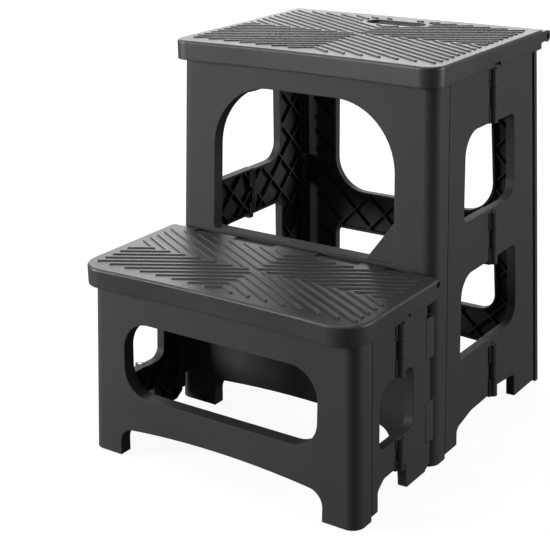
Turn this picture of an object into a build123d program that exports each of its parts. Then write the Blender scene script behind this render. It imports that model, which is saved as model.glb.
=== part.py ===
from build123d import *
from math import cos, radians, sin, tan
import os

os.makedirs("parts", exist_ok=True)

# Folding two-step stool, moulded in plastic. Millimetres.
# X to the right, Y to the back, Z up, origin on the floor below the middle of the stool.

# Overall sizes
UPPER_TOP = 430.0            # top of the upper tread above the floor
LOWER_TOP = 218.0            # top of the lower tread above the floor
FLOOR_HALF_WIDTH = 171.0     # half width over the side walls at the floor
SIDE_LEAN = 0.0325           # the side walls lean in by this much per mm of height
BACK_FACE = 217.5            # outer face of the back panel at the floor
BACK_LEAN = -0.0525          # its lean, to the front with height
FRONT_FACE = -57.0           # outer face of the tall front panel at the floor
FRONT_LEAN = 0.03375         # its lean, to the back with height
LOWER_FACE = -211.0          # outer face of the lower front panel at the floor
LOWER_LEAN = 0.047           # its lean, to the back with height

# Moulded walls
WALL = 3.0                   # panel wall
CORNER = 14.0                # outer radius of the posts
FRONT_RETURN = 27.0          # depth of the posts' returns on the two front panels
BACK_RETURN = 13.0           # the same on the back panel
BACK_CORNER = 8.0            # outer radius of the back panel's posts
FRONT_RIM = 15.0             # depth of the rims round the front panels' openings
BACK_RIM = 9.0               # depth of the rims on the back panel
RIM_WALL = 3.0               # thickness of those rims
RIB = 2.0                    # thickness of the stiffening ribs
LEAF = 10.0                  # overall thickness of a side leaf
LEAF_SKIN = 2.5              # its outer skin and its edge walls
LEAF_GAP = 1.0               # gap between a front leaf and the return beside it
BACK_LEAF_GAP = 6.0          # gap between a rear leaf and the back panel's return
MID_GAP = 0.6                # gap from a leaf's end to its centre hinge line
PAD_HEIGHT = 3.0             # rubber pad below a post
PAD_RADIUS = 6.5             # rubber pad
PAD_EDGE = 1.0               # least distance from a pad to the edges of its post
PAD_STEM = 3.0               # radius of the stem that plugs into the foot web
FOOT_WEB = 3.0               # thickness of the web that closes the foot of a post
FOOT_WEB_SPAN = 24.0         # how far that web reaches in from the corner
LEAF_FOOT = 8.0              # height of the leaves' feet above the floor

# Hinges
PIN = 2.5                    # radius of every steel pin and rod
PIN_CLEAR = 0.05             # radial running clearance on a pin
OPEN_CLEAR = 0.6             # radial clearance in the loose pivots on the left
KNUCKLE = 5.0                # outer radius of the hinge knuckles
KNUCKLE_GAP = 0.5            # gap between neighbouring knuckles
KNUCKLE_CLEAR = 0.6          # clearance round a knuckle cut into the next leaf
AXIS_INSET = 9.0             # leaf-to-panel hinge lines lie this far inside the side faces
FRONT_AXIS = 17.0            # and this far behind a front panel's outer face
BACK_AXIS = 12.6             # or in front of the back panel's outer face
BRACKET_AXIS = 10.0          # lower rear hinge line, in front of the tall front panel
MID_PROUD = 2.2              # tall centre hinge lines, outside the side faces at the floor
LOWER_MID_PROUD = 1.2        # lower centre hinge lines, outside the side faces at the floor
LUG = 18.0                   # height of a leaf's lug in a corner hinge
BOSS = 10.0                  # height of each panel boss above and below that lug

# Treads
TREAD_PLATE = 3.0            # top plate
TREAD_WALL = 2.6             # skirt wall
TREAD_SKIRT = 21.0           # skirt height
REAR_CORNER = 6.0            # radius of the rear corners in plan
TREAD_EDGE = 2.5             # rounding of the top edge
SEAT_DEPTH = 18.0            # tops of the panels and leaves below the tread's top
SEAT_GAP = 0.3               # gap between them and the ribs under the tread
UPPER_OVERHANG = 6.0         # the upper tread stands this far outside the side walls
UPPER_CORNER = 18.0          # radius of its front corners in plan
UPPER_FRONT = -56.0          # its front corners
UPPER_DISH = 8.0             # its front edge is hollow by this much
LOWER_OVERHANG = 8.1
LOWER_CORNER = 30.0
LOWER_FRONT = -219.5
LOWER_DISH = 6.5
UPPER_AXIS = (206.5, 421.0)  # y and z of the upper tread's hinge rod
LOWER_AXIS = (-57.0, 212.0)  # y and z of the lower tread's hinge rod
UPPER_BARREL = 6.5           # radius of the upper tread's hinge barrel
LOWER_BARREL = 5.0
ROD_RECESS = 4.0             # the rods end this far inside the treads' sides
ROD_HOLE = 3.2               # radius of the holes at their ends
RIDGE = 3.2                  # width of a grip ridge
RIDGE_HEIGHT = 1.2
RIDGE_PITCH = 10.4           # across the ridges
RIDGE_ANGLE = 30.0           # their slant from the stool's cross direction
RIDGE_DRAFT = 15.0           # slope of their sides
RIDGE_MARGIN = 12.0          # from their ends to the treads' sides
UPPER_RIDGES = (-32.0, 176.0)   # front and rear ends of the ridges on the upper tread
LOWER_RIDGES = (-197.5, -69.5)  # and on the lower tread
HAND_SLOT = (74.0, 26.0)     # hand slot in the upper tread
HAND_SLOT_Y = 153.0          # its centre
SLOT_THROUGH = 13.0          # width of its open front part
SLOT_DEPTH = 9.0             # fall of the sloping floor behind that part
SLOT_LIP = 1.2               # upright lip at the floor's rear end
SLOT_PAD = 7.0               # smooth border round the slot

UPPER_SEAT = UPPER_TOP - SEAT_DEPTH
LOWER_SEAT = LOWER_TOP - SEAT_DEPTH
BORE = PIN + PIN_CLEAR
OPEN_BORE = PIN + OPEN_CLEAR

# Each panel: outer face at the floor, lean, way its returns point, their depth, top, post radius
TALL_FRONT = (FRONT_FACE, FRONT_LEAN, 1, FRONT_RETURN, UPPER_SEAT, CORNER)
TALL_BACK = (BACK_FACE, BACK_LEAN, -1, BACK_RETURN, UPPER_SEAT, BACK_CORNER)
LOWER_PANEL = (LOWER_FACE, LOWER_LEAN, 1, FRONT_RETURN, LOWER_SEAT, CORNER)


def half_width(z):
    """Outer half width of the stool's side walls at height z."""
    return FLOOR_HALF_WIDTH - SIDE_LEAN * z


UPPER_HALF = half_width(UPPER_TOP) + UPPER_OVERHANG
LOWER_HALF = half_width(LOWER_TOP) + LOWER_OVERHANG


def face_at(panel, z):
    """Y of a panel's outer face at height z."""
    return panel[0] + panel[1] * z


# Hinge lines. On each side the three lines of a fold meet in one point high above the stool, so that
# the leaning walls fold flat. A line is held as its point on the floor and that meeting point.

def fold_lines(front_foot, front_lean, rear_foot, rear_lean, proud):
    """Front, centre and rear hinge lines of a right-hand side wall."""
    meet_z = (rear_foot - front_foot) / (front_lean - rear_lean)
    meet_y = front_foot + front_lean * meet_z
    meet_x = half_width(meet_z) - AXIS_INSET
    meet = Vector(meet_x, meet_y, meet_z)
    corner_x = FLOOR_HALF_WIDTH - AXIS_INSET
    middle = Vector(FLOOR_HALF_WIDTH + proud, (front_foot + rear_foot) / 2, 0)
    return (
        (Vector(corner_x, front_foot, 0), meet),
        (middle, meet),
        (Vector(corner_x, rear_foot, 0), meet),
    )


TALL_LINES = fold_lines(
    FRONT_FACE + FRONT_AXIS, FRONT_LEAN, BACK_FACE - BACK_AXIS, BACK_LEAN, MID_PROUD
)
LOWER_LINES = fold_lines(
    LOWER_FACE + FRONT_AXIS, LOWER_LEAN, FRONT_FACE - BRACKET_AXIS, FRONT_LEAN, LOWER_MID_PROUD
)


def on_line(line, z):
    """Point of a hinge line at height z."""
    foot, meet = line
    return foot + (meet - foot) * (z / meet.Z)


def along(line, low, high, profile):
    """Profile drawn square to a hinge line (x outward, y to the back), run from low to high."""
    start = on_line(line, low)
    run = on_line(line, high) - start
    return extrude(Plane(origin=start, x_dir=(1, 0, 0), z_dir=run) * profile, run.length)


def patch(x0, x1, y0, y1):
    """Rectangle between two x and two y values."""
    return Pos((x0 + x1) / 2, (y0 + y1) / 2) * Rectangle(x1 - x0, y1 - y0)


def block(x0, x1, y0, y1, z0, z1):
    """Box between its limits."""
    return Pos((x0 + x1) / 2, (y0 + y1) / 2, (z0 + z1) / 2) * Box(x1 - x0, y1 - y0, z1 - z0)


def x_prism(sketch, low, high):
    """Sketch in Y and Z run from one x to another."""
    plane = Plane(origin=(low, 0, 0), x_dir=(0, 1, 0), z_dir=(1, 0, 0))
    return extrude(plane * sketch, high - low)


def both_sides(shape):
    """A right-hand shape with its left-hand twin."""
    return shape + mirror(shape, about=Plane.YZ)


# Panels

def leaning(panel, near, far, low, high, half):
    """Block between two depths behind a panel's leaning face, over a height and a half width."""
    face, lean, way = panel[:3]
    ends = ((near, low), (far, low), (far, high), (near, high))
    outline = Polyline(*[(face + lean * z + way * depth, z) for depth, z in ends], close=True)
    return x_prism(make_face(outline), -half, half)


def through(sketch, panel):
    """Prism of a sketch in X and Z, run right through a panel."""
    middle = face_at(panel, 0)
    plane = Plane(origin=(0, middle, 0), x_dir=(1, 0, 0), z_dir=(0, -1, 0))
    return extrude(plane * sketch, FRONT_RETURN * 3, both=True)


def channel(panel, inset=0.0, extra=0.0, low=PAD_HEIGHT, high=None):
    """Solid that fills a panel's channel, with its faces drawn in by inset and its posts rounded."""
    high = panel[4] if high is None else high
    core = leaning(panel, inset, panel[3] + extra, low, high, FLOOR_HALF_WIDTH + 10)
    wide, narrow = half_width(low) - inset, half_width(high) - inset
    sides = make_face(Polyline((-wide, low), (wide, low), (narrow, high), (-narrow, high), close=True))
    core &= through(sides, panel)
    middle = (low + high) / 2
    near = face_at(panel, middle) + panel[2] * inset
    posts = [e for e in core.edges() if abs(e.center().Y - near) < 0.01 and abs(e.center().X) > 100]
    return fillet(posts, panel[5] - inset)


def layer(panel, near, far):
    """The flat part of a panel from near to far behind its outer face, between its posts."""
    return leaning(panel, near, far, PAD_HEIGHT, panel[4], half_width(panel[4]) - panel[5])


def opening(half_low, half_high, low, high, low_radius, high_radius):
    """Symmetric window outline in X and Z with its own corner radii."""
    outline = make_face(
        Polyline((-half_low, low), (half_low, low), (half_high, high), (-half_high, high), close=True)
    )
    if low_radius:
        outline = fillet(outline.vertices().sort_by(Axis.Y)[:2], low_radius)
    return fillet(outline.vertices().sort_by(Axis.Y)[-2:], high_radius)


def ground_arch(half, crown, shoulder, radius):
    """Gap between the feet: straight sides, round corners and a slightly raised crown."""
    below = -10.0
    outline = make_face(
        Line((-half, below), (half, below))
        + Line((half, below), (half, shoulder))
        + ThreePointArc((half, shoulder), (0, crown), (-half, shoulder))
        + Line((-half, shoulder), (-half, below))
    )
    return fillet(outline.vertices().sort_by(Axis.Y)[-2:], radius)


def diagonal_strips(middle_y, pitch):
    """Crossing 45 degree strips about a point on the sketch's upright axis."""
    reach = UPPER_TOP
    count = int(reach / pitch)
    return [
        Pos(0, middle_y) * Rot(0, 0, turn) * Pos(0, step * pitch) * Rectangle(3 * reach, RIB)
        for turn in (45, -45)
        for step in range(-count, count + 1)
    ]


def clip(strips, region):
    """The parts of some strips that lie in a region, as one sketch."""
    kept = [strip & region for strip in strips]
    kept = [piece for piece in kept if piece is not None and piece.area > 1.0]
    net = kept[0]
    for piece in kept[1:]:
        net += piece
    return net


def foot_webs(panel):
    """Webs that close the feet of the two posts, with holes for the pad stems."""
    fill = channel(panel, high=PAD_HEIGHT + FOOT_WEB)
    span = half_width(0) - FOOT_WEB_SPAN
    face, way = panel[0], panel[2]
    keep = block(span, half_width(0) + 1, *sorted((face - way, face + way * FOOT_WEB_SPAN)), 0, 50)
    return both_sides(fill & keep)


def pad_place(panel):
    """Centre of the right-hand pad of a panel."""
    return half_width(0) - CORNER, face_at(panel, 0) + panel[2] * panel[3] / 2


def pads(panel):
    """Rubber pads: a flat disc under each post and a stem in its foot web."""
    x, y = pad_place(panel)
    radius = min(PAD_RADIUS, panel[3] / 2 - PAD_EDGE)
    disc = Pos(x, y, 0) * extrude(Circle(radius), PAD_HEIGHT)
    disc = chamfer(disc.edges().group_by(Axis.Z)[0], 0.8)
    stem = Pos(x, y, PAD_HEIGHT) * extrude(Circle(PAD_STEM), FOOT_WEB)
    return both_sides(disc + stem)


def pad_holes(panel):
    """Holes for the pad stems."""
    x, y = pad_place(panel)
    return both_sides(Pos(x, y, 0) * extrude(Circle(PAD_STEM + 0.1), 20))


def stations(heights):
    """Low and high ends of the leaf lugs of a corner hinge."""
    return [(z - LUG / 2, z + LUG / 2) for z in heights]


TALL_STATIONS = stations((70.0, 225.0, 378.0))
LOWER_STATIONS = stations((56.0, 165.0))


def bosses(line, ends):
    """Panel bosses above and below each leaf lug of a right-hand corner hinge."""
    reach = AXIS_INSET - WALL + 0.6
    profile = Circle(KNUCKLE + 0.5) + patch(0, reach, -KNUCKLE - 0.5, KNUCKLE + 0.5)
    made = []
    for low, high in ends:
        made.append(along(line, low - KNUCKLE_GAP - BOSS, low - KNUCKLE_GAP, profile))
        made.append(along(line, high + KNUCKLE_GAP, high + KNUCKLE_GAP + BOSS, profile))
    return made


def corner_pins(line, ends):
    """Pins of a right-hand corner hinge, flush with the outer ends of its bosses."""
    over = KNUCKLE_GAP + BOSS
    return [along(line, low - over, high + over, Circle(PIN)) for low, high in ends]


def bores(line, low, high, radius=BORE):
    """A bore along a hinge line."""
    return along(line, low, high, Circle(radius))


def make_panel(panel, windows, ribs, rim_depth, line, ends):
    """Channel with rimmed openings, foot webs, inner ribs and hinge bosses."""
    body = channel(panel) - channel(panel, inset=WALL, extra=WALL, low=0, high=panel[4] + WALL)
    rim_zone = layer(panel, WALL / 2, rim_depth)
    rib_zone = layer(panel, WALL / 2, rim_depth - 2)
    for window in windows:
        body += through(offset(window, RIM_WALL) - window, panel) & rim_zone
    for region in ribs:
        middle = region.center().Y
        body += through(clip(diagonal_strips(middle, RIB_PITCH), region), panel) & rib_zone
    body += foot_webs(panel)
    for boss in bosses(line, ends):
        body += both_sides(boss)
    for window in windows:
        body -= through(window, panel)
    body -= pad_holes(panel)
    over = KNUCKLE_GAP + BOSS + 1.0
    return body - both_sides(bores(line, ends[0][0] - over, ends[-1][1] + over))


RIB_PITCH = 30.0
ARCH = opening(116, 112, LOWER_TOP + 3, 386, 4, 72)
TALL_FRONT_GAP = ground_arch(118, 42, 36, 18)
LOWER_WINDOW = opening(122, 122, 77, 161, 30, 33)
LOWER_GAP = ground_arch(130, 42, 34, 18)
BACK_UPPER_WINDOW = opening(110, 104, 206, 348, 40, 30)
BACK_LOWER_WINDOW = opening(114, 111, 82, 153, 22, 9)
BACK_GAP = ground_arch(120, 40, 35, 18)

# Brackets on the tall front panel that carry the lower rear leaves, low and high ends
BRACKETS = ((39.0, 84.0), (132.0, 176.0))
BRACKET_KNUCKLE = 18.0       # height of the leaf knuckles above and below a bracket
BRACKET_GROOVE = 0.5         # a bracket's outer plate ends this far before the panel's face
BRACKET_STEP = 5.0           # its neck lies this far inside that plate


def bracket_profile():
    """Bracket, flush with the side wall, with a groove between it and the round of the post."""
    round_end = KNUCKLE + 1.0
    outer = patch(0, AXIS_INSET, -round_end - 0.5, BRACKET_AXIS - BRACKET_GROOVE)
    inner = patch(-round_end, AXIS_INSET - BRACKET_STEP, 0, BRACKET_AXIS + CORNER)
    return Circle(round_end) + outer + inner


# Lower tread hinge: the tread's knuckles and the panel's lugs share one rod
LOWER_LUGS = ((27.0, 80.0), (111.0, 134.0))
UPPER_LUGS = ((36.0, 140.0),)
LUG_VALLEY = 1.0             # the lower lugs' arms stay this far below the rod's centre


def lug_pair(low, high, sketch):
    """A hinge lug drawn in Y and Z, on both sides of the middle."""
    return both_sides(x_prism(sketch, low, high))


def rod(axis, half, radius):
    """Round bar along X."""
    return x_prism(Pos(*axis) * Circle(radius), -half, half)


def tall_front_panel():
    """Front wall of the tall unit, with the arch, the brackets and the lower tread's lugs."""
    ends = TALL_STATIONS
    body = make_panel(TALL_FRONT, (ARCH, TALL_FRONT_GAP), (), FRONT_RIM, TALL_LINES[0], ends)
    outside = channel(TALL_FRONT, inset=1.0, extra=WALL)
    for low, high in BRACKETS:
        body += both_sides(along(LOWER_LINES[2], low, high, bracket_profile()) - outside)
    body -= both_sides(bores(LOWER_LINES[2], BRACKETS[0][0] - 5, BRACKETS[1][1] + 5))
    y, z = LOWER_AXIS
    back = face_at(TALL_FRONT, z) + 1.0
    lug = Pos(y, z) * Circle(LOWER_BARREL) + patch(y, back, z - LOWER_BARREL, z - LUG_VALLEY)
    for low, high in LOWER_LUGS:
        body += lug_pair(low, high, lug)
    body -= rod(LOWER_AXIS, LOWER_HALF, BORE)
    return body + corner_web()


def corner_web():
    """Triangular web in the lower right corner of the arch."""
    low = LOWER_TOP + 1
    web = make_face(Polyline((80, low), (120, low), (120, 268), (116, 268), close=True))
    return through(web, TALL_FRONT) & layer(TALL_FRONT, WALL, WALL * 2)


def tall_back_panel():
    """Back wall of the tall unit, with two windows and the ears of the upper tread's hinge."""
    ribbed = patch(-140, 140, 44, UPPER_SEAT - 12)
    windows = (BACK_UPPER_WINDOW, BACK_LOWER_WINDOW, BACK_GAP)
    body = make_panel(TALL_BACK, windows, (ribbed,), BACK_RIM, TALL_LINES[2], TALL_STATIONS)
    y, z = UPPER_AXIS
    face = face_at(TALL_BACK, UPPER_SEAT)
    top = UPPER_TOP - TREAD_PLATE - 3.0
    ear = patch(face - WALL, face, UPPER_SEAT - 20, top)
    lug = Pos(y, z) * Circle(UPPER_BARREL) + patch(face - WALL, y, UPPER_SEAT + 0.5, top) + ear
    for low, high in UPPER_LUGS:
        body += lug_pair(low + KNUCKLE_GAP, high - KNUCKLE_GAP, lug)
    return body - rod(UPPER_AXIS, UPPER_HALF, BORE)


def lower_front_panel():
    """Front wall of the lower unit."""
    windows = (LOWER_WINDOW, LOWER_GAP)
    return make_panel(LOWER_PANEL, windows, (), FRONT_RIM, LOWER_LINES[0], LOWER_STATIONS)


# Side leaves. Each is drawn in its own leaning plane, y to the back and z up the slope.

SIDE_PLANE = Plane(origin=(FLOOR_HALF_WIDTH, 0, 0), x_dir=(0, 1, 0), z_dir=(1, 0, SIDE_LEAN))


def shaped(points):
    """Closed outline from (y, z, corner radius) points."""
    outline = make_face(Polyline(*[(y, z) for y, z, _ in points], close=True))
    for y, z, radius in points:
        if radius:
            corner = outline.vertices().sort_by_distance((y, z, 0))[0]
            outline = fillet(corner, radius)
    return outline


def moulded_leaf(outline, rib_pitch):
    """Skin with edge walls and crossing ribs on its inner side."""
    core = offset(outline, -LEAF_SKIN)
    skin = extrude(SIDE_PLANE * outline, -LEAF_SKIN)
    edge = extrude(SIDE_PLANE * (outline - core), -LEAF)
    middle = outline.center()
    strips = [Pos(middle.X, 0) * strip for strip in diagonal_strips(middle.Y, rib_pitch)]
    ribs = extrude(SIDE_PLANE * clip(strips, outline), -(LEAF - 2.0))
    return skin + edge + ribs


def thirds(low, high):
    """Three knuckles of a hinge column with gaps between them."""
    step = (high - low) / 3
    return [(low + i * step + KNUCKLE_GAP / 2, low + (i + 1) * step - KNUCKLE_GAP / 2) for i in range(3)]


TALL_COLUMNS = ((34.0, 96.0), (192.0, 251.0), (349.0, 407.0))
LOWER_COLUMNS = ((36.0, 71.0), (137.0, 193.0))


def hinge_middle(body, line, columns, front, proud):
    """Centre hinge of a leaf: own knuckles, clearance for the other leaf's, and bores."""
    way = -1 if front else 1
    web = sorted((0, way * (KNUCKLE + 2.5)))
    profile = Circle(KNUCKLE) + patch(-proud - LEAF + 1.5, 0, *web)
    for low, high in columns:
        parts = thirds(low, high)
        own = (parts[0], parts[2]) if front else (parts[1],)
        other = (parts[1],) if front else (parts[0], parts[2])
        for z0, z1 in other:
            room = Circle(KNUCKLE + KNUCKLE_CLEAR)
            body -= along(line, z0 - KNUCKLE_GAP, z1 + KNUCKLE_GAP, room)
        for z0, z1 in own:
            body += along(line, z0, z1, profile)
        body -= bores(line, low - 1, high + 1)
    return body


def mid_pins(line, columns):
    """Pins of a right-hand centre hinge."""
    return [along(line, low, high, Circle(PIN)) for low, high in columns]


def corner_lugs(body, line, ends, front, reach):
    """Lugs that carry a leaf on a corner hinge, reaching inside the panel's return, not yet bored."""
    way = 1 if front else -1
    arm = sorted((0, way * (reach + LEAF_SKIN + 1.0)))
    profile = Circle(KNUCKLE) + patch(-KNUCKLE + 1, KNUCKLE, *arm)
    for low, high in ends:
        body += along(line, low, high, profile)
    return body


def tall_front_edge(z):
    """Front edge of the tall front leaf."""
    return FRONT_FACE + FRONT_LEAN * z + FRONT_RETURN + LEAF_GAP


def tall_rear_edge(z):
    """Rear edge of the tall rear leaf."""
    return BACK_FACE + BACK_LEAN * z - BACK_RETURN - BACK_LEAF_GAP


def lower_front_edge(z):
    """Front edge of the lower front leaf."""
    return LOWER_FACE + LOWER_LEAN * z + FRONT_RETURN + LEAF_GAP


def mid_edge(line, z, way):
    """Edge of a leaf beside its centre hinge line."""
    return on_line(line, z).Y + way * MID_GAP


def tall_front_leaf():
    """Front half of the tall right side wall."""
    line = TALL_LINES[1]
    top = UPPER_SEAT
    outline = shaped((
        (tall_front_edge(LEAF_FOOT), LEAF_FOOT, 0), (-2.5, LEAF_FOOT, 1.5), (-2, 27, 8), (32, 35, 20),
        (mid_edge(line, 36, -1), 36, 0), (mid_edge(line, 104, -1), 104, 0), (5.5, 104, 7),
        (9.5, 197, 25), (mid_edge(line, 197, -1), 197, 0), (mid_edge(line, 255, -1), 255, 0),
        (14.5, 255, 7), (19, 350, 28), (mid_edge(line, 350, -1), 350, 0),
        (mid_edge(line, top, -1), top, 0), (tall_front_edge(top), top, 0),
    ))
    body = moulded_leaf(outline, RIB_PITCH)
    reach = FRONT_RETURN + LEAF_GAP - FRONT_AXIS
    body = corner_lugs(body, TALL_LINES[0], TALL_STATIONS, True, reach)
    return hinge_middle(body, line, TALL_COLUMNS, True, MID_PROUD)


def tall_rear_leaf():
    """Rear half of the tall right side wall."""
    line = TALL_LINES[1]
    top = UPPER_SEAT
    outline = shaped((
        (mid_edge(line, 42, 1), 42, 0), (136, 37, 4), (143, 34, 2), (143.5, LEAF_FOOT, 1.5),
        (tall_rear_edge(LEAF_FOOT), LEAF_FOOT, 0), (tall_rear_edge(top), top, 0),
        (mid_edge(line, top, 1), top, 0), (mid_edge(line, 349, 1), 349, 0), (133.5, 349, 9),
        (137, 254, 20), (mid_edge(line, 254, 1), 254, 0), (mid_edge(line, 197, 1), 197, 0),
        (141, 197, 9), (144.5, 104, 22), (mid_edge(line, 104, 1), 104, 0),
    ))
    body = moulded_leaf(outline, RIB_PITCH)
    reach = BACK_RETURN + BACK_LEAF_GAP - BACK_AXIS
    body = corner_lugs(body, TALL_LINES[2], TALL_STATIONS, False, reach)
    return hinge_middle(body, line, TALL_COLUMNS, False, MID_PROUD)


def lower_front_leaf():
    """Front half of the lower right side wall."""
    line = LOWER_LINES[1]
    top = LOWER_SEAT
    outline = shaped((
        (lower_front_edge(LEAF_FOOT), LEAF_FOOT, 0), (-171.5, LEAF_FOOT, 1.5), (-170.5, 30, 6),
        (-158, 38.5, 10), (mid_edge(line, 39, -1), 39, 0), (mid_edge(line, 71, -1), 71, 0),
        (-166, 71, 8), (-162.5, 138, 22), (mid_edge(line, 138, -1), 138, 0),
        (mid_edge(line, top, -1), top, 0), (lower_front_edge(top), top, 0),
    ))
    body = moulded_leaf(outline, RIB_PITCH)
    reach = FRONT_RETURN + LEAF_GAP - FRONT_AXIS
    body = corner_lugs(body, LOWER_LINES[0], LOWER_STATIONS, True, reach)
    return hinge_middle(body, line, LOWER_COLUMNS, True, LOWER_MID_PROUD)


def lower_rear_leaf():
    """Rear half of the lower right side wall, notched for the brackets that carry it."""
    line = LOWER_LINES[1]
    pivot = LOWER_LINES[2]
    top = LOWER_SEAT
    past = 2.0
    outline = shaped((
        (mid_edge(line, 38, 1), 38, 0), (-115, 38, 3), (-114, LEAF_FOOT, 1.5), (-75, LEAF_FOOT, 0),
        (on_line(pivot, 15).Y + past, 15, 0), (on_line(pivot, top).Y + past, top, 0),
        (mid_edge(line, top, 1), top, 0), (mid_edge(line, 138, 1), 138, 0), (-95.5, 138, 9),
        (-97.5, 70, 12), (mid_edge(line, 70, 1), 70, 0),
    ))
    body = moulded_leaf(outline, RIB_PITCH)
    back_off = KNUCKLE + 2.5
    room = patch(-LEAF * 2, LEAF * 2, -back_off, LEAF) + Circle(back_off)
    knuckle = Circle(KNUCKLE + 0.5) + patch(-1, AXIS_INSET - 1, -back_off - 4, past)
    for low, high in BRACKETS:
        body -= along(pivot, low - KNUCKLE_GAP, high + KNUCKLE_GAP, room)
        for z0, z1 in ((low - BRACKET_KNUCKLE, low), (high, high + BRACKET_KNUCKLE)):
            body += along(pivot, z0 + KNUCKLE_GAP, z1 - KNUCKLE_GAP, knuckle)
        body -= bores(pivot, low - BRACKET_KNUCKLE - 2, high + BRACKET_KNUCKLE + 2)
    recess = patch(AXIS_INSET - BRACKET_STEP, LEAF * 2, -back_off, LEAF)
    body -= along(pivot, BRACKETS[-1][1], top + LEAF, recess)
    return hinge_middle(body, line, LOWER_COLUMNS, False, LOWER_MID_PROUD)


def bracket_pins():
    """Pins through the brackets and the leaf knuckles beside them."""
    line = LOWER_LINES[2]
    return [
        along(line, low - BRACKET_KNUCKLE + KNUCKLE_GAP, high + BRACKET_KNUCKLE - KNUCKLE_GAP, Circle(PIN))
        for low, high in BRACKETS
    ]


# Treads

def tread_outline(half, front, dish, rear, corner):
    """Plan of a tread: straight sides, hollow front edge, round corners."""
    outline = make_face(
        Line((half, front), (half, rear))
        + Line((half, rear), (-half, rear))
        + Line((-half, rear), (-half, front))
        + ThreePointArc((-half, front), (0, front + dish), (half, front))
    )
    outline = fillet(outline.vertices().sort_by(Axis.Y)[:2], corner)
    return fillet(outline.vertices().sort_by(Axis.Y)[-2:], REAR_CORNER)


def vee(spread, length):
    """V-shaped ridge: its point at the origin, its arms spread to both sides of the x axis."""
    along_x, across = cos(radians(spread)), sin(radians(spread))
    half = RIDGE / 2
    outer = (length * along_x - half * across, length * across + half * along_x)
    inner = (length * along_x + half * across, length * across - half * along_x)
    return make_face(Polyline(
        (-half / across, 0), (outer[0], -outer[1]), (inner[0], -inner[1]),
        (half / across, 0), inner, outer, close=True,
    ))


def ridge_field(half, limits, top):
    """Grip ridges: nested V shapes that point to the middle of the tread from its four sides."""
    half_x = half - RIDGE_MARGIN
    half_y = (limits[1] - limits[0]) / 2
    slant = radians(RIDGE_ANGLE)
    pitch_x, pitch_y = RIDGE_PITCH / sin(slant), RIDGE_PITCH / cos(slant)
    vees = []
    for step in range(int(half_x / pitch_x) + 1):
        tip = (step + 0.5) * pitch_x
        length = min(half_x - tip, half_y / tan(slant)) / cos(slant)
        if length > RIDGE_PITCH:
            vees += [Rot(0, 0, turn) * Pos(tip, 0) * vee(RIDGE_ANGLE, length) for turn in (0, 180)]
    for step in range(int(half_y / pitch_y) + 1):
        tip = (step + 0.5) * pitch_y
        length = min(half_x, (half_y - tip) / tan(slant)) / cos(slant)
        if length > RIDGE_PITCH:
            vees += [Rot(0, 0, turn) * Pos(tip, 0) * vee(90 - RIDGE_ANGLE, length) for turn in (90, -90)]
    ridges = extrude(Sketch(children=vees), RIDGE_HEIGHT + 0.1, taper=RIDGE_DRAFT)
    return Pos(0, (limits[0] + limits[1]) / 2, top - 0.1) * ridges


def tread(half, front, dish, rear, corner, top, axis, barrel, lugs, lug_room, ribs_x, ribs_y, rib_back):
    """Tray with a skirt on three sides, a rib grid below and hinge knuckles at the rear edge."""
    outline = tread_outline(half, front, dish, rear, corner)
    inner = offset(outline, -TREAD_WALL)
    body = Pos(0, 0, top - TREAD_PLATE) * extrude(outline, TREAD_PLATE)
    skirt = Pos(0, 0, top - TREAD_SKIRT) * extrude(outline - inner, TREAD_SKIRT - 1.0)
    open_rear = block(-half + TREAD_WALL, half - TREAD_WALL, rib_back, rear + 1, 0, top - TREAD_PLATE)
    body += skirt - open_rear
    body = fillet(body.edges().group_by(Axis.Z)[-1], TREAD_EDGE)
    grid = [patch(x - RIB / 2, x + RIB / 2, front, rib_back) for x in ribs_x]
    grid += [patch(-half, half, y - RIB / 2, y + RIB / 2) for y in ribs_y]
    seat = top - SEAT_DEPTH + SEAT_GAP
    body += Pos(0, 0, seat) * extrude(clip(grid, inner), SEAT_DEPTH - SEAT_GAP - TREAD_PLATE + 0.5)
    y, z = axis
    arm_low = z - barrel + 1.5
    knuckle = Pos(y, z) * Circle(barrel) + patch(rib_back, y, arm_low, top - TREAD_PLATE + 0.5)
    edges = [0.0]
    for low, high in lugs:
        edges += [low, high]
    edges.append(half)
    for low, high in zip(edges[0::2], edges[1::2]):
        if low == 0.0:
            body += lug_pair(-high + KNUCKLE_GAP, 0, knuckle)
        else:
            body += lug_pair(low + KNUCKLE_GAP, high if high == half else high - KNUCKLE_GAP, knuckle)
    room = Pos(y, z) * Circle(barrel + 1.5) + patch(y - barrel - lug_room, y + barrel + 5, z - 30, z + 30)
    for low, high in lugs:
        body -= lug_pair(low, high, room)
    body -= lug_pair(half - ROD_RECESS, half + 1, Pos(y, z) * Circle(ROD_HOLE))
    return body - rod(axis, half + 1, BORE)


def lock_lugs(line, mid_height, lug_depth, clear, top):
    """Lugs under a tread that stand inside the leaves' tops beside the centre hinge."""
    at = on_line(line, mid_height)
    outer = half_width(mid_height) - LEAF - clear
    seat = top - SEAT_DEPTH + SEAT_GAP
    pair = [
        block(outer - 5, outer, at.Y + way * 18 - 5, at.Y + way * 18 + 5, seat - lug_depth, top - TREAD_PLATE)
        for way in (-1, 1)
    ]
    return both_sides(pair[0] + pair[1])


def hinge_notches(line, height, half, top):
    """Cuts in a tread's skirt that clear the leaves' centre hinge columns."""
    at = on_line(line, height).Y
    cut = block(half - 8, half + 5, at - KNUCKLE - 4, at + KNUCKLE + 4, 0, top - TREAD_SKIRT + 4)
    return both_sides(cut)


UPPER_RIB_BACK = 186.0
UPPER_REAR = 195.0
LOWER_RIB_BACK = -74.0
LOWER_REAR = -52.5
UPPER_LUG_ROOM = 4.0         # gap in front of the lugs of the upper hinge
LOWER_LUG_ROOM = 1.5         # and of the lower hinge


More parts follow.
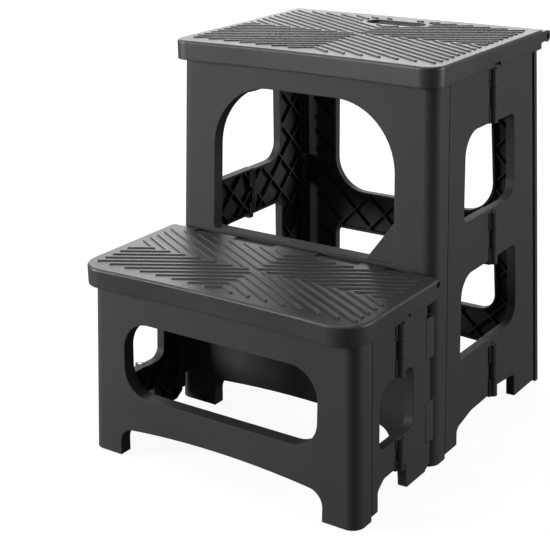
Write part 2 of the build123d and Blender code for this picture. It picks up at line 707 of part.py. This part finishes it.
def hand_scoop(slot):
    """Cut of the hand slot: open at its front, with a floor that slopes up to a lip at the rear."""
    front = HAND_SLOT_Y - HAND_SLOT[1] / 2
    rear = HAND_SLOT_Y + HAND_SLOT[1] / 2
    above, below = UPPER_TOP + 5, UPPER_SEAT - 10
    profile = make_face(Polyline(
        (front, above), (front, below), (front + SLOT_THROUGH, below),
        (front + SLOT_THROUGH, UPPER_TOP - SLOT_DEPTH), (rear, UPPER_TOP - SLOT_LIP), (rear, above),
        close=True,
    ))
    column = Pos(0, 0, below) * extrude(slot, above - below)
    return column & x_prism(profile, -HAND_SLOT[0], HAND_SLOT[0])


def upper_tread():
    """Upper tread with its hand slot, lock lugs and grip ridges."""
    ribs_x = [i * 40.0 for i in range(-3, 4)]
    ribs_y = [i * 40.0 for i in range(0, 4)] + [UPPER_RIB_BACK - RIB / 2]
    body = tread(UPPER_HALF, UPPER_FRONT, UPPER_DISH, UPPER_REAR, UPPER_CORNER, UPPER_TOP, UPPER_AXIS,
                 UPPER_BARREL, UPPER_LUGS, UPPER_LUG_ROOM, ribs_x, ribs_y, UPPER_RIB_BACK)
    length, width = HAND_SLOT
    slot = Pos(0, HAND_SLOT_Y) * SlotOverall(length, width)
    under = UPPER_SEAT + SEAT_GAP + 2
    body += Pos(0, 0, under) * extrude(offset(slot, RIM_WALL), UPPER_TOP - under - 0.5)
    body -= hand_scoop(slot)
    body += lock_lugs(TALL_LINES[1], UPPER_SEAT, 8.0, 3.5, UPPER_TOP)
    body -= hinge_notches(TALL_LINES[1], UPPER_SEAT, UPPER_HALF, UPPER_TOP)
    border = Pos(0, 0, UPPER_TOP - RIDGE_HEIGHT) * extrude(offset(slot, SLOT_PAD), RIDGE_HEIGHT * 3)
    return body + (ridge_field(UPPER_HALF, UPPER_RIDGES, UPPER_TOP) - border)


LATCH_PIVOT = (-84.0, 202.0) # y and z of the latch strap's pin
LATCH_WIDTH = 12.0
LATCH_LENGTH = 50.0          # from the pin to the tip
LATCH_THICK = 4.0
LATCH_EYE = 4.5              # radius of its eye
LATCH_EAR = 3.0              # thickness of the ears that hold its pin
LATCH_GAP = 0.5              # gap on each side of the strap


def latch_limits():
    """Half width of the strap, and near and far faces of the ears beside it."""
    near = LATCH_WIDTH / 2 + LATCH_GAP
    return LATCH_WIDTH / 2, near, near + LATCH_EAR


def lower_tread():
    """Lower tread with its lock lugs, latch ears and grip ridges."""
    ribs_x = [side * (20.0 + i * 40.0) for side in (-1, 1) for i in range(4)]
    ribs_y = [-200.0, -165.0, -130.0, LOWER_RIB_BACK - RIB / 2 + 1]
    body = tread(LOWER_HALF, LOWER_FRONT, LOWER_DISH, LOWER_REAR, LOWER_CORNER, LOWER_TOP, LOWER_AXIS,
                 LOWER_BARREL, LOWER_LUGS, LOWER_LUG_ROOM, ribs_x, ribs_y, LOWER_RIB_BACK)
    body += lock_lugs(LOWER_LINES[1], LOWER_SEAT, 4.0, 5.0, LOWER_TOP)
    body -= hinge_notches(LOWER_LINES[1], LOWER_SEAT, LOWER_HALF, LOWER_TOP)
    y, z = LATCH_PIVOT
    under = LOWER_TOP - TREAD_PLATE + 0.5
    ear = Pos(y, z) * Circle(LATCH_EYE) + patch(y - LATCH_EYE, y + LATCH_EYE, z, under)
    _, near, far = latch_limits()
    room = LATCH_THICK / 2 + 1.5
    body -= block(-near, near, y, LOWER_AXIS[0], 0, z + room)
    body += lug_pair(near, far, ear)
    body -= rod(LATCH_PIVOT, far + 1, BORE)
    return body + ridge_field(LOWER_HALF, LOWER_RIDGES, LOWER_TOP)


def fold_latch():
    """Strap that hangs plumb from its pin under the lower tread, its tip rounded."""
    y, z = LATCH_PIVOT
    half = LATCH_THICK / 2
    tip = z - LATCH_LENGTH
    strap = x_prism(Pos(y, z) * Circle(LATCH_EYE) + patch(y - half, y + half, tip, z),
                    -LATCH_WIDTH / 2, LATCH_WIDTH / 2)
    ends = [e for e in strap.edges().filter_by(Axis.Y) if e.center().Z < tip + 1]
    return fillet(ends, LATCH_WIDTH / 2 - 1) - rod(LATCH_PIVOT, LATCH_WIDTH, BORE)


def fold_latch_pin():
    """Pin of the latch strap, flush with the ears."""
    return rod(LATCH_PIVOT, latch_limits()[2], PIN)


def save(name, shapes):
    """Write one sub-part, given as a shape or as a list of separate solids."""
    shapes = shapes if isinstance(shapes, list) else [shapes]
    solids = [solid for shape in shapes for solid in shape.solids()]
    export_step(solids[0] if len(solids) == 1 else Compound(children=solids), f"parts/{name}.step")


def left_of(shapes):
    """Left-hand twins of some right-hand solids."""
    return [mirror(shape, about=Plane.YZ) for shape in shapes]


def with_left(shapes):
    """Right-hand solids and their left-hand twins."""
    return shapes + left_of(shapes)


save("tall_front_panel", tall_front_panel())
save("tall_front_feet", pads(TALL_FRONT))
save("tall_front_hinge_pins", with_left(corner_pins(TALL_LINES[0], TALL_STATIONS)))
save("lower_rear_hinge_pins", with_left(bracket_pins()))
save("lower_tread_rod", rod(LOWER_AXIS, LOWER_HALF - ROD_RECESS, PIN))

front_leaf = tall_front_leaf() - bores(TALL_LINES[0], 0, UPPER_SEAT)
save("tall_right_front_leaf", front_leaf)
save("tall_left_front_leaf", left_of([front_leaf]))
rear_leaf = tall_rear_leaf()
save("tall_right_rear_leaf", rear_leaf - bores(TALL_LINES[2], 0, UPPER_SEAT))
save("tall_left_rear_leaf", left_of([rear_leaf - bores(TALL_LINES[2], 0, UPPER_SEAT, OPEN_BORE)]))
save("tall_right_mid_pins", mid_pins(TALL_LINES[1], TALL_COLUMNS))
save("tall_left_mid_pins", left_of(mid_pins(TALL_LINES[1], TALL_COLUMNS)))

save("tall_back_panel", tall_back_panel())
save("tall_back_feet", pads(TALL_BACK))
save("tall_back_hinge_pins", with_left(corner_pins(TALL_LINES[2], TALL_STATIONS)))
save("upper_tread_rod", rod(UPPER_AXIS, UPPER_HALF - ROD_RECESS, PIN))
save("upper_tread", upper_tread())

save("lower_front_panel", lower_front_panel())
save("lower_front_feet", pads(LOWER_PANEL))
save("lower_front_hinge_pins", with_left(corner_pins(LOWER_LINES[0], LOWER_STATIONS)))
front_leaf = lower_front_leaf()
save("lower_right_front_leaf", front_leaf - bores(LOWER_LINES[0], 0, LOWER_SEAT))
save("lower_left_front_leaf", left_of([front_leaf - bores(LOWER_LINES[0], 0, LOWER_SEAT, OPEN_BORE)]))
rear_leaf = lower_rear_leaf()
save("lower_right_rear_leaf", rear_leaf)
save("lower_left_rear_leaf", left_of([rear_leaf]))
save("lower_right_mid_pins", mid_pins(LOWER_LINES[1], LOWER_COLUMNS))
save("lower_left_mid_pins", left_of(mid_pins(LOWER_LINES[1], LOWER_COLUMNS)))
save("lower_tread", lower_tread())
save("fold_latch", fold_latch())
save("fold_latch_pin", fold_latch_pin())
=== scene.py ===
from math import cos, radians, sin

import bmesh
import bpy
from mathutils import Matrix, Vector

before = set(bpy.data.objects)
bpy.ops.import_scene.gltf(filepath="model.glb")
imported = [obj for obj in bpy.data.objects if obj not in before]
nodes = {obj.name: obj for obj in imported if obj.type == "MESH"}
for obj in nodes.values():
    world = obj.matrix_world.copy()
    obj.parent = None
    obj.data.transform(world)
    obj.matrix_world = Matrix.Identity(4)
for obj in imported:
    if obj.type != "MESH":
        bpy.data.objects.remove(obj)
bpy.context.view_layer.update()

scene = bpy.context.scene

# Camera: stands to the front right of the stool, above its upper tread, and looks a little down on it.
# A moderate long lens keeps the posts nearly upright in the picture.
IMAGE_WIDTH_PX = 550
LENS_PX = 1316.15
SENSOR_MM = 36.0
CLIP_START = 0.05
CAMERA_PLACE = Vector((0.7475, -1.1641, 0.68335))
CAMERA_YAW = radians(-35.02)
CAMERA_PITCH = radians(19.98)
CAMERA_ROLL = radians(-1.11)
ahead = Vector((
    sin(CAMERA_YAW) * cos(CAMERA_PITCH),
    cos(CAMERA_YAW) * cos(CAMERA_PITCH),
    -sin(CAMERA_PITCH),
))
level = Vector((cos(CAMERA_YAW), -sin(CAMERA_YAW), 0.0))
upright = level.cross(ahead)
right = level * cos(CAMERA_ROLL) + upright * sin(CAMERA_ROLL)
up = upright * cos(CAMERA_ROLL) - level * sin(CAMERA_ROLL)
lens = bpy.data.cameras.new("camera")
lens.sensor_width = SENSOR_MM
lens.lens = LENS_PX * SENSOR_MM / IMAGE_WIDTH_PX
lens.clip_start = CLIP_START
camera = bpy.data.objects.new("camera", lens)
turn = Matrix((right, up, -ahead)).transposed().to_4x4()
camera.matrix_world = Matrix.Translation(CAMERA_PLACE) @ turn
scene.collection.objects.link(camera)
scene.camera = camera
scene.view_settings.view_transform = "Standard"

# Surroundings: a plain white sweep in a dim room. The camera sees white, glossy surfaces mirror a
# dimmer white, and the sweep itself adds only a little soft light to that of the lamps.
WORLD_WHITE = 1.0
WORLD_MIRRORED = 0.4
WORLD_SOFT = 0.05
WORLD_COLOUR = (1.0, 1.0, 1.0, 1.0)
world = bpy.data.worlds.new("white_sweep")
scene.world = world
world.use_nodes = True
sky = world.node_tree
sky.nodes.clear()
sky_out = sky.nodes.new("ShaderNodeOutputWorld")
sky_path = sky.nodes.new("ShaderNodeLightPath")
sky_layers = []
for strength in (WORLD_SOFT, WORLD_MIRRORED, WORLD_WHITE):
    layer = sky.nodes.new("ShaderNodeBackground")
    layer.inputs["Color"].default_value = WORLD_COLOUR
    layer.inputs["Strength"].default_value = strength
    sky_layers.append(layer)
sky_mirrored = sky.nodes.new("ShaderNodeMixShader")
sky.links.new(sky_path.outputs["Is Glossy Ray"], sky_mirrored.inputs["Fac"])
sky.links.new(sky_layers[0].outputs[0], sky_mirrored.inputs[1])
sky.links.new(sky_layers[1].outputs[0], sky_mirrored.inputs[2])
seen = sky.nodes.new("ShaderNodeMath")
seen.operation = "MAXIMUM"
sky.links.new(sky_path.outputs["Is Camera Ray"], seen.inputs[0])
sky.links.new(sky_path.outputs["Is Transmission Ray"], seen.inputs[1])
sky_seen = sky.nodes.new("ShaderNodeMixShader")
sky.links.new(seen.outputs[0], sky_seen.inputs["Fac"])
sky.links.new(sky_mirrored.outputs[0], sky_seen.inputs[1])
sky.links.new(sky_layers[2].outputs[0], sky_seen.inputs[2])
sky.links.new(sky_seen.outputs[0], sky_out.inputs["Surface"])

# Floor: a matt white sheet that keeps a faint shadow below the stool. Its own light brings it up to
# the white of the sweep where nothing shades it, and rises outwards so that no horizon shows.
FLOOR_HALF = 6.0
FLOOR_COLOUR = (0.20, 0.20, 0.20, 1.0)
GLOW_NEAR = 0.93
GLOW_FAR = 1.0
GLOW_RISE = (0.6, 2.0)  # metres from the middle
floor_mesh = bpy.data.meshes.new("floor")
floor_shape = bmesh.new()
bmesh.ops.create_grid(floor_shape, x_segments=1, y_segments=1, size=FLOOR_HALF)
floor_shape.to_mesh(floor_mesh)
floor_shape.free()
floor = bpy.data.objects.new("floor", floor_mesh)
scene.collection.objects.link(floor)
paper = bpy.data.materials.new("floor_paper")
paper.use_nodes = True
paper_tree = paper.node_tree
paper_tree.nodes.clear()
paper_out = paper_tree.nodes.new("ShaderNodeOutputMaterial")
paper_matt = paper_tree.nodes.new("ShaderNodeBsdfDiffuse")
paper_matt.inputs["Color"].default_value = FLOOR_COLOUR
paper_glow = paper_tree.nodes.new("ShaderNodeEmission")
paper_place = paper_tree.nodes.new("ShaderNodeTexCoord")
paper_reach = paper_tree.nodes.new("ShaderNodeVectorMath")
paper_reach.operation = "LENGTH"
paper_rise = paper_tree.nodes.new("ShaderNodeMapRange")
paper_rise.inputs["From Min"].default_value = GLOW_RISE[0]
paper_rise.inputs["From Max"].default_value = GLOW_RISE[1]
paper_rise.inputs["To Min"].default_value = GLOW_NEAR
paper_rise.inputs["To Max"].default_value = GLOW_FAR
paper_tree.links.new(paper_place.outputs["Object"], paper_reach.inputs[0])
paper_tree.links.new(paper_reach.outputs["Value"], paper_rise.inputs["Value"])
paper_tree.links.new(paper_rise.outputs["Result"], paper_glow.inputs["Strength"])
paper_seen = paper_tree.nodes.new("ShaderNodeMixShader")
paper_sum = paper_tree.nodes.new("ShaderNodeAddShader")
paper_path = paper_tree.nodes.new("ShaderNodeLightPath")
paper_tree.links.new(paper_matt.outputs[0], paper_sum.inputs[0])
paper_tree.links.new(paper_glow.outputs[0], paper_sum.inputs[1])
paper_tree.links.new(paper_path.outputs["Is Camera Ray"], paper_seen.inputs["Fac"])
paper_tree.links.new(paper_matt.outputs[0], paper_seen.inputs[1])
paper_tree.links.new(paper_sum.outputs[0], paper_seen.inputs[2])
paper_tree.links.new(paper_seen.outputs[0], paper_out.inputs["Surface"])
floor_mesh.materials.append(paper)

# Lamps: a soft box overhead, one from the left that lights the fronts, a weaker one from behind on the
# right that lights the side walls, and the bright wall behind the stool that shows in the treads.
LAMP_AIM = Vector((0, 0, 0.2))
LAMPS = (  # name, place, side and power
    ("overhead", (-0.3, -0.1, 2.4), 1.6, 15.0),
    ("left_key", (-2.9, -2.5, 1.0), 1.5, 118.0),
    ("right_rear", (2.9, 1.6, 0.5), 1.5, 50.0),
    ("rear_wall", (-1.6, 2.3, 1.0), 3.0, 64.0),
)
for lamp_name, lamp_place, lamp_size, lamp_power in LAMPS:
    lamp_data = bpy.data.lights.new(lamp_name, "AREA")
    lamp_data.shape = "SQUARE"
    lamp_data.size = lamp_size
    lamp_data.energy = lamp_power
    lamp = bpy.data.objects.new(lamp_name, lamp_data)
    lamp.location = lamp_place
    lamp.rotation_euler = (LAMP_AIM - lamp.location).to_track_quat("-Z", "Y").to_euler()
    scene.collection.objects.link(lamp)


# Panels: the three channel-shaped walls, moulded in dark grey polypropylene with a fine satin grain.
# Each is one moulding, and its edges are a little burnished where hands and floors rub them.
CLOUD_SCALE = 9.0
CLOUD_DETAIL = 5.0
SPECK_SCALE = 700.0
SPECK_DETAIL = 2.0
SPECK_SHARE = 0.35
NOISE_SPAN = (0.3, 0.7)     # the part of the noise that makes the shade and the gloss vary
EDGE_SAMPLES = 4
RUB_SPAN = (0.995, 0.80)    # cosine between the face and its rounded edge, from clean to rubbed
RUB_MOST = 0.5
RUB_GAIN = 1.7              # a rubbed edge is this much paler
# Painted shade in gaps: a near-black colour is mixed into the base colour where ambient occlusion
# finds little open sky, standing in for the shade that falls in gaps and creases.
GAP_SAMPLES = 6
GAP_DEPTH = 0.010
GAP_SPAN = (0.20, 0.62)     # share of open sky, from full painted shade to none
GAP_SHADE_LEAST = 0.12          # share of plastic colour left under the painted shade in the deepest gap
GAP_PAINTED_SHADE = (0.004, 0.004, 0.004, 1.0)
GLOSS_SPREAD = (-0.05, 0.06)
GRAIN_DEPTH = 0.0003
FLOAT_A, FLOAT_B, FLOAT_OUT = 2, 3, 0       # sockets of a Mix node that blends numbers
COLOUR_A, COLOUR_B, COLOUR_OUT = 6, 7, 2    # and of one that blends colours


def moulded_plastic(name, dark, pale, roughness, specular, grain, edge_radius):
    """Satin moulded plastic: cloudy shade, fine grain, burnished edges and painted shade in its gaps.
    """
    material = bpy.data.materials.new(name)
    material.use_nodes = True
    tree = material.node_tree
    shader = tree.nodes["Principled BSDF"]
    place = tree.nodes.new("ShaderNodeTexCoord")
    cloud = tree.nodes.new("ShaderNodeTexNoise")
    cloud.inputs["Scale"].default_value = CLOUD_SCALE
    cloud.inputs["Detail"].default_value = CLOUD_DETAIL
    speck = tree.nodes.new("ShaderNodeTexNoise")
    speck.inputs["Scale"].default_value = SPECK_SCALE
    speck.inputs["Detail"].default_value = SPECK_DETAIL
    tree.links.new(place.outputs["Object"], cloud.inputs["Vector"])
    tree.links.new(place.outputs["Object"], speck.inputs["Vector"])
    blend = tree.nodes.new("ShaderNodeMix")
    blend.inputs["Factor"].default_value = SPECK_SHARE
    tree.links.new(cloud.outputs["Fac"], blend.inputs[FLOAT_A])
    tree.links.new(speck.outputs["Fac"], blend.inputs[FLOAT_B])
    shade = tree.nodes.new("ShaderNodeValToRGB")
    shade.color_ramp.elements[0].position = NOISE_SPAN[0]
    shade.color_ramp.elements[0].color = (*dark, 1.0)
    shade.color_ramp.elements[1].position = NOISE_SPAN[1]
    shade.color_ramp.elements[1].color = (*pale, 1.0)
    tree.links.new(blend.outputs[FLOAT_OUT], shade.inputs["Fac"])
    soft = tree.nodes.new("ShaderNodeBevel")
    soft.samples = EDGE_SAMPLES
    soft.inputs["Radius"].default_value = edge_radius
    facing = tree.nodes.new("ShaderNodeNewGeometry")
    edge = tree.nodes.new("ShaderNodeVectorMath")
    edge.operation = "DOT_PRODUCT"
    tree.links.new(soft.outputs["Normal"], edge.inputs[0])
    tree.links.new(facing.outputs["True Normal"], edge.inputs[1])
    rubbed = tree.nodes.new("ShaderNodeMapRange")
    rubbed.inputs["From Min"].default_value = RUB_SPAN[0]
    rubbed.inputs["From Max"].default_value = RUB_SPAN[1]
    rubbed.inputs["To Max"].default_value = RUB_MOST
    tree.links.new(edge.outputs["Value"], rubbed.inputs["Value"])
    worn = tree.nodes.new("ShaderNodeMix")
    worn.data_type = "RGBA"
    worn.inputs[COLOUR_B].default_value = (*[channel * RUB_GAIN for channel in pale], 1.0)
    tree.links.new(rubbed.outputs["Result"], worn.inputs["Factor"])
    tree.links.new(shade.outputs["Color"], worn.inputs[COLOUR_A])
    # Painted shade: gaps and creases are darkened towards the near-black colour by how little open sky
    # they see.
    gap = tree.nodes.new("ShaderNodeAmbientOcclusion")
    gap.samples = GAP_SAMPLES
    gap.inputs["Distance"].default_value = GAP_DEPTH
    unshaded = tree.nodes.new("ShaderNodeMapRange")
    unshaded.inputs["From Min"].default_value = GAP_SPAN[0]
    unshaded.inputs["From Max"].default_value = GAP_SPAN[1]
    unshaded.inputs["To Min"].default_value = GAP_SHADE_LEAST
    tree.links.new(gap.outputs["AO"], unshaded.inputs["Value"])
    gap_shaded = tree.nodes.new("ShaderNodeMix")
    gap_shaded.data_type = "RGBA"
    gap_shaded.inputs[COLOUR_A].default_value = GAP_PAINTED_SHADE
    tree.links.new(unshaded.outputs["Result"], gap_shaded.inputs["Factor"])
    tree.links.new(worn.outputs[COLOUR_OUT], gap_shaded.inputs[COLOUR_B])
    tree.links.new(gap_shaded.outputs[COLOUR_OUT], shader.inputs["Base Color"])
    gloss = tree.nodes.new("ShaderNodeMapRange")
    gloss.inputs["From Min"].default_value = NOISE_SPAN[0]
    gloss.inputs["From Max"].default_value = NOISE_SPAN[1]
    gloss.inputs["To Min"].default_value = roughness + GLOSS_SPREAD[0]
    gloss.inputs["To Max"].default_value = roughness + GLOSS_SPREAD[1]
    tree.links.new(cloud.outputs["Fac"], gloss.inputs["Value"])
    tree.links.new(gloss.outputs["Result"], shader.inputs["Roughness"])
    bump = tree.nodes.new("ShaderNodeBump")
    bump.inputs["Strength"].default_value = grain
    bump.inputs["Distance"].default_value = GRAIN_DEPTH
    tree.links.new(speck.outputs["Fac"], bump.inputs["Height"])
    tree.links.new(soft.outputs["Normal"], bump.inputs["Normal"])
    tree.links.new(bump.outputs["Normal"], shader.inputs["Normal"])
    shader.inputs["Specular IOR Level"].default_value = specular
    return material


def dress(node, material):
    """Give a frame node its finish."""
    mesh = nodes[node].data
    mesh.materials.clear()
    mesh.materials.append(material)


panel_plastic = moulded_plastic(
    "panel_plastic",
    dark=(0.050, 0.046, 0.050),
    pale=(0.062, 0.057, 0.062),
    roughness=0.58,
    specular=0.35,
    grain=0.25,
    edge_radius=0.0012,
)
for panel in ("tall_front_panel", "tall_back_panel", "lower_front_panel"):
    dress(panel, panel_plastic)

# Side leaves: the folding halves of the side walls, moulded in the same plastic a shade darker.
# Their inner sides carry crossing ribs, and their knuckles turn on steel pins.
leaf_plastic = moulded_plastic(
    "leaf_plastic",
    dark=(0.046, 0.042, 0.046),
    pale=(0.058, 0.053, 0.058),
    roughness=0.60,
    specular=0.35,
    grain=0.25,
    edge_radius=0.0012,
)
for unit in ("tall", "lower"):
    for side in ("right", "left"):
        for half in ("front", "rear"):
            dress(f"{unit}_{side}_{half}_leaf", leaf_plastic)

# Treads: moulded trays with raised grip ridges, in the same plastic with a smoother, shinier finish.
# They hang on steel rods at their rear edges.
tread_plastic = moulded_plastic(
    "tread_plastic",
    dark=(0.046, 0.043, 0.046),
    pale=(0.058, 0.054, 0.058),
    roughness=0.38,
    specular=0.60,
    grain=0.2,
    edge_radius=0.0016,
)
for tread in ("upper_tread", "lower_tread"):
    dress(tread, tread_plastic)

# Latch strap: a small strap moulded in a blacker plastic, which holds the folded stool shut.
# It hangs on a steel pin between two ears below the lower tread.
latch_plastic = moulded_plastic(
    "latch_plastic",
    dark=(0.020, 0.020, 0.021),
    pale=(0.028, 0.028, 0.030),
    roughness=0.45,
    specular=0.45,
    grain=0.2,
    edge_radius=0.0008,
)
dress("fold_latch", latch_plastic)


# Pins and rods: drawn steel bar, cut to length and pushed through the knuckles.
# Fine scratches run along the bar from drawing.
STREAK_SCALE = 400.0
STREAK_DETAIL = 4.0
STEEL_DARK = (0.42, 0.42, 0.43, 1.0)
STEEL_PALE = (0.62, 0.62, 0.63, 1.0)
STEEL_ROUGHNESS = (0.22, 0.42)
ALONG_X = (0.05, 1.0, 1.0)  # the rods and the latch pin lie across the stool
ALONG_Z = (1.0, 1.0, 0.05)  # the hinge pins stand nearly upright


def drawn_steel(name, stretch):
    """Bright drawn steel with fine streaks along the bar and dull patches."""
    material = bpy.data.materials.new(name)
    material.use_nodes = True
    tree = material.node_tree
    shader = tree.nodes["Principled BSDF"]
    place = tree.nodes.new("ShaderNodeTexCoord")
    streak = tree.nodes.new("ShaderNodeTexNoise")
    streak.inputs["Scale"].default_value = STREAK_SCALE
    streak.inputs["Detail"].default_value = STREAK_DETAIL
    along = tree.nodes.new("ShaderNodeMapping")
    along.inputs["Scale"].default_value = stretch
    tree.links.new(place.outputs["Object"], along.inputs["Vector"])
    tree.links.new(along.outputs["Vector"], streak.inputs["Vector"])
    tint = tree.nodes.new("ShaderNodeValToRGB")
    tint.color_ramp.elements[0].color = STEEL_DARK
    tint.color_ramp.elements[1].color = STEEL_PALE
    tree.links.new(streak.outputs["Fac"], tint.inputs["Fac"])
    tree.links.new(tint.outputs["Color"], shader.inputs["Base Color"])
    dull = tree.nodes.new("ShaderNodeMapRange")
    dull.inputs["To Min"].default_value = STEEL_ROUGHNESS[0]
    dull.inputs["To Max"].default_value = STEEL_ROUGHNESS[1]
    tree.links.new(streak.outputs["Fac"], dull.inputs["Value"])
    tree.links.new(dull.outputs["Result"], shader.inputs["Roughness"])
    shader.inputs["Metallic"].default_value = 1.0
    return material


rod_steel = drawn_steel("rod_steel", ALONG_X)
pin_steel = drawn_steel("pin_steel", ALONG_Z)
for node in nodes:
    if node.endswith(("_rod", "_pin")):
        dress(node, rod_steel)
    if node.endswith("_pins"):
        dress(node, pin_steel)

# Pads: black rubber discs with stems, a little duller and rougher than the plastic.
# They are pressed into the feet of the posts so that the stool grips the floor.
foot_rubber = moulded_plastic(
    "foot_rubber",
    dark=(0.012, 0.012, 0.012),
    pale=(0.022, 0.022, 0.022),
    roughness=0.78,
    specular=0.3,
    grain=0.5,
    edge_radius=0.0008,
)
for unit in ("tall_front", "tall_back", "lower_front"):
    dress(f"{unit}_feet", foot_rubber)
